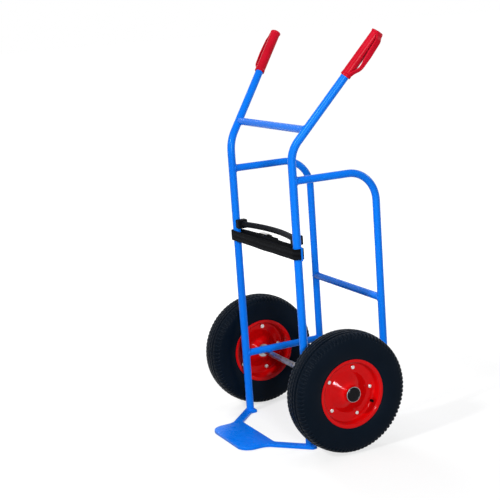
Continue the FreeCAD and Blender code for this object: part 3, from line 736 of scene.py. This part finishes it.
def make_strap():
    """Strap: a flat section with rounded edges swept along the spiral.

    Its height sways slightly along the way, by a sum of sines.
    """
    line = strap_line()
    along = np.arange(len(line)) * STRAP_STEP
    sway = sum(height * np.sin(along * rate + start) for height, rate, start in STRAP_SWAYS)
    path = np.stack([line[:, 0], line[:, 1], STRAP_HEIGHT + sway], -1)
    heading = unit(np.gradient(line, axis=0))
    outward = np.stack([-heading[:, 1], heading[:, 0], np.zeros(len(line))], -1)
    upright = np.broadcast_to([0.0, 0.0, 1.0], path.shape)
    shape = rounded_box(STRAP_THICKNESS, STRAP_WIDTH, STRAP_EDGE_ROUND)
    grid = capped(swept(path, outward, upright, shape))
    surface("strap_surface", [(grid, False, True, STRAP_UV)], WEBBING, "frame", ["strap"])


# Toe plate


def toe_corners():
    """Corners of the toe plate as (x, y, radius): pads under the rails, slanted arms and the tongue."""
    outer = np.array([TOE_HALF_WIDTH, -TOE_SIDE_FLAT])
    root = np.array([TONGUE_HALF_WIDTH, -TONGUE_ROOT])
    slant = unit(root - outer)
    inner = outer + np.array([slant[1], -slant[0]]) * ARM_WIDTH
    arm_start = inner + slant * (TOE_PAD_INNER - inner[0]) / slant[0]
    arm_end = inner + slant * (-TONGUE_REAR - inner[1]) / slant[1]
    right = [
        (*arm_end, TONGUE_REAR_RADIUS), (*arm_start, ARM_ROOT_RADIUS),
        (TOE_PAD_INNER, TOE_REAR, TOE_PAD_RADIUS), (TOE_HALF_WIDTH, TOE_REAR, TOE_CORNER_RADIUS),
        (*outer, TOE_CORNER_RADIUS), (*root, TONGUE_CORNER_RADIUS),
        (TONGUE_HALF_WIDTH, -TONGUE_REACH, TONGUE_CORNER_RADIUS),
    ]
    return right + [(-x, y, radius) for x, y, radius in reversed(right)]


def make_toe_plate():
    """Toe plate: its outline is carried round a rounded edge and closed by flat faces above and below."""
    outline = rounded_line(toe_corners(), True, TOE_ARC_STEPS)
    following = np.roll(outline, -1, 0)
    ahead = unit(following - np.roll(outline, 1, 0))
    area = np.sum(outline[:, 0] * following[:, 1] - following[:, 0] * outline[:, 1])
    inward = np.stack([-ahead[:, 1], ahead[:, 0]], -1) * np.sign(area)
    turn = np.linspace(0, math.pi / 2, TOE_EDGE_STEPS)
    inset = TOE_EDGE_ROUND * (1 - np.sin(turn))
    height = TOE_EDGE_ROUND * (1 - np.cos(turn))
    insets = np.concatenate([inset, inset[::-1]])
    heights = np.concatenate([height, TOE_THICKNESS - height[::-1]])
    flat = outline[None] + inward[None] * insets[:, None, None]
    level = np.broadcast_to(heights[:, None, None], flat.shape[:2] + (1,))
    grid = np.concatenate([flat, level], -1)
    piece = surface("toe_plate_surface", [(grid, False, True, TOE_UV)], BLUE, "frame",
                    ["toe_plate"])
    faces = bmesh.new()
    faces.from_mesh(piece.data)
    bmesh.ops.holes_fill(faces, edges=[edge for edge in faces.edges if edge.is_boundary], sides=0)
    bmesh.ops.recalc_face_normals(faces, faces=faces.faces)
    faces.to_mesh(piece.data)
    faces.free()


# Welds


def saddle(main_point, main_axis, main_radius, brace_axis, brace_radius):
    """Line where a brace tube meets a main tube.

    Round the brace, each point is carried along the brace's axis until it lies the main radius from the main
    axis, which is the larger root of a quadratic. Returns the line and the direction that bisects both
    surfaces.
    """
    turn = turns(WELD_ROWS)
    first = unit(main_axis - brace_axis * (main_axis @ brace_axis))
    second = np.cross(brace_axis, first)
    spoke = np.cos(turn)[:, None] * first + np.sin(turn)[:, None] * second
    offset = spoke * brace_radius
    flat_offset = offset - (offset @ main_axis)[:, None] * main_axis
    flat_brace = brace_axis - (brace_axis @ main_axis) * main_axis
    a = flat_brace @ flat_brace
    b = flat_offset @ flat_brace
    c = np.sum(flat_offset ** 2, -1) - main_radius ** 2
    reach = (-b + np.sqrt(np.clip(b * b - a * c, 0, None))) / a
    line = main_point + offset + reach[:, None] * brace_axis
    from_main = flat_offset + reach[:, None] * flat_brace
    return line, unit(spoke + unit(from_main))


def foot_ring(centre, radius):
    """Circle on a level face round an upright tube, with the direction out of the corner between them."""
    turn = turns(WELD_ROWS)
    spoke = np.stack([np.cos(turn), np.sin(turn), np.zeros(WELD_ROWS)], -1)
    return np.asarray(centre) + spoke * radius, unit(spoke + [0, 0, 1])


def axle_seat(side):
    """Closed line where a strut sits on the axle in its notch, with the direction away from the strut.

    Round the strut's underside, each point lies on the strut's circle and on the axle's, once before the axle
    and once behind it.
    """
    turn = turns(WELD_ROWS)
    wheel = wheel_centre(side)
    drop = STRUT_HEIGHT - wheel[2]
    widest = math.acos((drop - AXLE_RADIUS) / BRACE_RADIUS)
    tilt = widest * np.sin(turn)
    height = drop - BRACE_RADIUS * np.cos(tilt)
    facing = np.sign(np.cos(turn))
    reach = np.sqrt(np.clip(AXLE_RADIUS ** 2 - height ** 2, 0, None)) * facing
    offset = np.stack([BRACE_RADIUS * np.sin(tilt), reach, height], -1)
    centre = np.array([SIDES[side] * RAIL_X, wheel[1], wheel[2]])
    return centre + offset, unit(np.stack([np.sin(tilt), facing, np.zeros(WELD_ROWS)], -1))


def bead(line, out):
    """Weld bead: a small round section swept along a closed line, its radius rippling along the way."""
    ahead = unit(np.roll(line, -1, 0) - np.roll(line, 1, 0))
    lengths = np.linalg.norm(np.roll(line, -1, 0) - line, axis=1)
    along = np.cumsum(lengths)
    ripples = max(1, round(along[-1] / WELD_PITCH))
    swell = 1 + WELD_RIPPLE * np.sin(along / along[-1] * ripples * FULL_TURN)
    turn = turns(WELD_COLUMNS)
    circle = np.stack([np.cos(turn), np.sin(turn)], -1) * WELD_RADIUS
    grid = swept(line, out, np.cross(ahead, out), circle[None] * swell[:, None, None])
    return grid, True, True, WELD_UV


def make_welds(side):
    """All the weld beads on one side of the frame, as one piece."""
    way = SIDES[side]
    up = np.array([0.0, 0.0, 1.0])
    rear = np.array([0.0, 1.0, 0.0])
    inward = np.array([-way, 0.0, 0.0])
    rail = np.array([way * RAIL_X, 0.0, 0.0])
    leg = np.array([way * RAIL_X, STAY_REACH, 0.0])
    corner, _, handle = handle_line(side)
    crossbar = corner + handle * CROSSBAR_RISE / handle[2]
    lines = [
        saddle(rail + up * STAY_HEIGHT, up, RAIL_RADIUS, rear, STAY_RADIUS),
        saddle(rail + up * STRUT_HEIGHT, up, RAIL_RADIUS, rear, BRACE_RADIUS),
        saddle(leg + up * STRUT_HEIGHT, up, STAY_RADIUS, -rear, BRACE_RADIUS),
        saddle(leg + up * REAR_BAR_HEIGHT, up, STAY_RADIUS, inward, BRACE_RADIUS),
        saddle(crossbar, handle, RAIL_RADIUS, inward, CROSSBAR_RADIUS),
        foot_ring(rail + up * TOE_THICKNESS, RAIL_RADIUS),
        axle_seat(side),
    ]
    surface(side + "_welds", [bead(line, out) for line, out in lines], BLUE, "frame")


# Stage, light and camera


def view_ray_strength(tree):
    """Value of 1 for camera, glossy and transmission rays, otherwise 0."""
    path = tree.nodes.new("ShaderNodeLightPath")
    total = path.outputs["Is Camera Ray"]
    for name in ("Is Glossy Ray", "Is Transmission Ray"):
        add = tree.nodes.new("ShaderNodeMath")
        add.operation = "MAXIMUM"
        tree.links.new(total, add.inputs[0])
        tree.links.new(path.outputs[name], add.inputs[1])
        total = add.outputs["Value"]
    return total


def make_world(ambient):
    """White surroundings for what is seen and mirrored; a lower even light for the rest."""
    world = bpy.data.worlds.new("studio")
    world.use_nodes = True
    tree = world.node_tree
    background = tree.nodes["Background"]
    background.inputs["Color"].default_value = (1, 1, 1, 1)
    strength = tree.nodes.new("ShaderNodeMapRange")
    strength.inputs["To Min"].default_value = ambient
    strength.inputs["To Max"].default_value = 1.0
    tree.links.new(view_ray_strength(tree), strength.inputs["Value"])
    tree.links.new(strength.outputs["Result"], background.inputs["Strength"])
    bpy.context.scene.world = world


def make_floor(half_size, albedo, glow):
    """Pale floor: a matt sheet that keeps the shadow, with a glow for the viewer that rises outwards."""
    corners = [(-half_size, -half_size, 0), (half_size, -half_size, 0), (half_size, half_size, 0),
               (-half_size, half_size, 0)]
    mesh = bpy.data.meshes.new("floor")
    mesh.from_pydata(corners, [], [(0, 1, 2, 3)])
    material = bpy.data.materials.new("floor")
    material.use_nodes = True
    tree = material.node_tree
    shader = tree.nodes["Principled BSDF"]
    shader.inputs["Base Color"].default_value = (albedo, albedo, albedo, 1)
    shader.inputs["Roughness"].default_value = 1.0
    shader.inputs["Specular IOR Level"].default_value = 0.0
    shader.inputs["Emission Color"].default_value = (1, 1, 1, 1)
    place = tree.nodes.new("ShaderNodeTexCoord")
    distance = tree.nodes.new("ShaderNodeVectorMath")
    distance.operation = "LENGTH"
    tree.links.new(place.outputs["Object"], distance.inputs[0])
    spread = tree.nodes.new("ShaderNodeMapRange")
    spread.interpolation_type = "SMOOTHSTEP"
    spread.inputs["From Min"].default_value = GLOW_START
    spread.inputs["From Max"].default_value = GLOW_END
    spread.inputs["To Min"].default_value = glow
    spread.inputs["To Max"].default_value = 1.0
    tree.links.new(distance.outputs["Value"], spread.inputs["Value"])
    scale = tree.nodes.new("ShaderNodeMath")
    scale.operation = "MULTIPLY"
    tree.links.new(view_ray_strength(tree), scale.inputs[0])
    tree.links.new(spread.outputs["Result"], scale.inputs[1])
    tree.links.new(scale.outputs["Value"], shader.inputs["Emission Strength"])
    mesh.materials.append(material)
    floor = bpy.data.objects.new("floor", mesh)
    bpy.context.scene.collection.objects.link(floor)


def camera_axes():
    """Right, up and backward directions of the camera, and its place."""
    level = math.cos(CAMERA_ELEVATION)
    back = np.array([
        math.sin(CAMERA_AZIMUTH) * level, -math.cos(CAMERA_AZIMUTH) * level, math.sin(CAMERA_ELEVATION)])
    right = unit(np.cross(-back, [0, 0, 1]))
    upward = np.cross(back, right)
    rolled_right = math.cos(CAMERA_ROLL) * right + math.sin(CAMERA_ROLL) * upward
    rolled_up = -math.sin(CAMERA_ROLL) * right + math.cos(CAMERA_ROLL) * upward
    return rolled_right, rolled_up, back, CAMERA_TARGET + FRAME_SHIFT + back * CAMERA_DISTANCE


def make_camera():
    """Camera at the photograph's viewing place."""
    axes_and_place = np.column_stack(camera_axes())
    data = bpy.data.cameras.new("camera")
    data.sensor_fit = "HORIZONTAL"
    data.sensor_width = SENSOR
    data.lens = FOCAL_PIXELS * SENSOR / IMAGE_SIZE
    camera = bpy.data.objects.new("camera", data)
    camera.matrix_world = Matrix(np.vstack([axes_and_place, [0, 0, 0, 1]]).tolist())
    bpy.context.scene.collection.objects.link(camera)
    bpy.context.scene.camera = camera


def make_lamp(name, across, forward, height, size, power, mirrored=True):
    """Square lamp aimed at the trolley; across and forward are metres to the camera's right and towards it.

    A lamp that isn't mirrored lights the trolley but doesn't show in its gloss.
    """
    right, _, back, _ = camera_axes()
    flat_right = unit(np.array([right[0], right[1], 0]))
    flat_back = unit(np.array([back[0], back[1], 0]))
    place = flat_right * across + flat_back * forward + FRAME_SHIFT + np.array([0, 0, height])
    data = bpy.data.lights.new(name, "AREA")
    data.size = size
    data.energy = power
    lamp = bpy.data.objects.new(name, data)
    lamp.location = place
    lamp.visible_glossy = mirrored
    aim = Vector(CAMERA_TARGET + FRAME_SHIFT) - Vector(place)
    lamp.rotation_euler = aim.to_track_quat("-Z", "Y").to_euler()
    bpy.context.scene.collection.objects.link(lamp)


finish_nodes()
for side in SIDES:
    make_tyre(side)
    make_rims(side)
    make_cap_ring(side)
    make_grip(side)
    make_welds(side)
make_strap()
make_toe_plate()
make_world(ambient=0.13)
make_floor(half_size=40.0, albedo=0.34, glow=0.67)
make_camera()
make_lamp("key", across=-2.4, forward=2.4, height=2.8, size=0.4, power=95.0)
make_lamp("front", across=0.6, forward=3.8, height=1.4, size=0.5, power=92.0)
make_lamp("fill", across=3.0, forward=-1.2, height=2.0, size=0.8, power=24.0)
make_lamp("top", across=0.0, forward=-0.4, height=4.0, size=1.6, power=20.0)
make_lamp("back", across=-1.2, forward=-3.0, height=2.2, size=1.6, power=90.0, mirrored=False)
bpy.context.scene.view_settings.view_transform = "Standard"
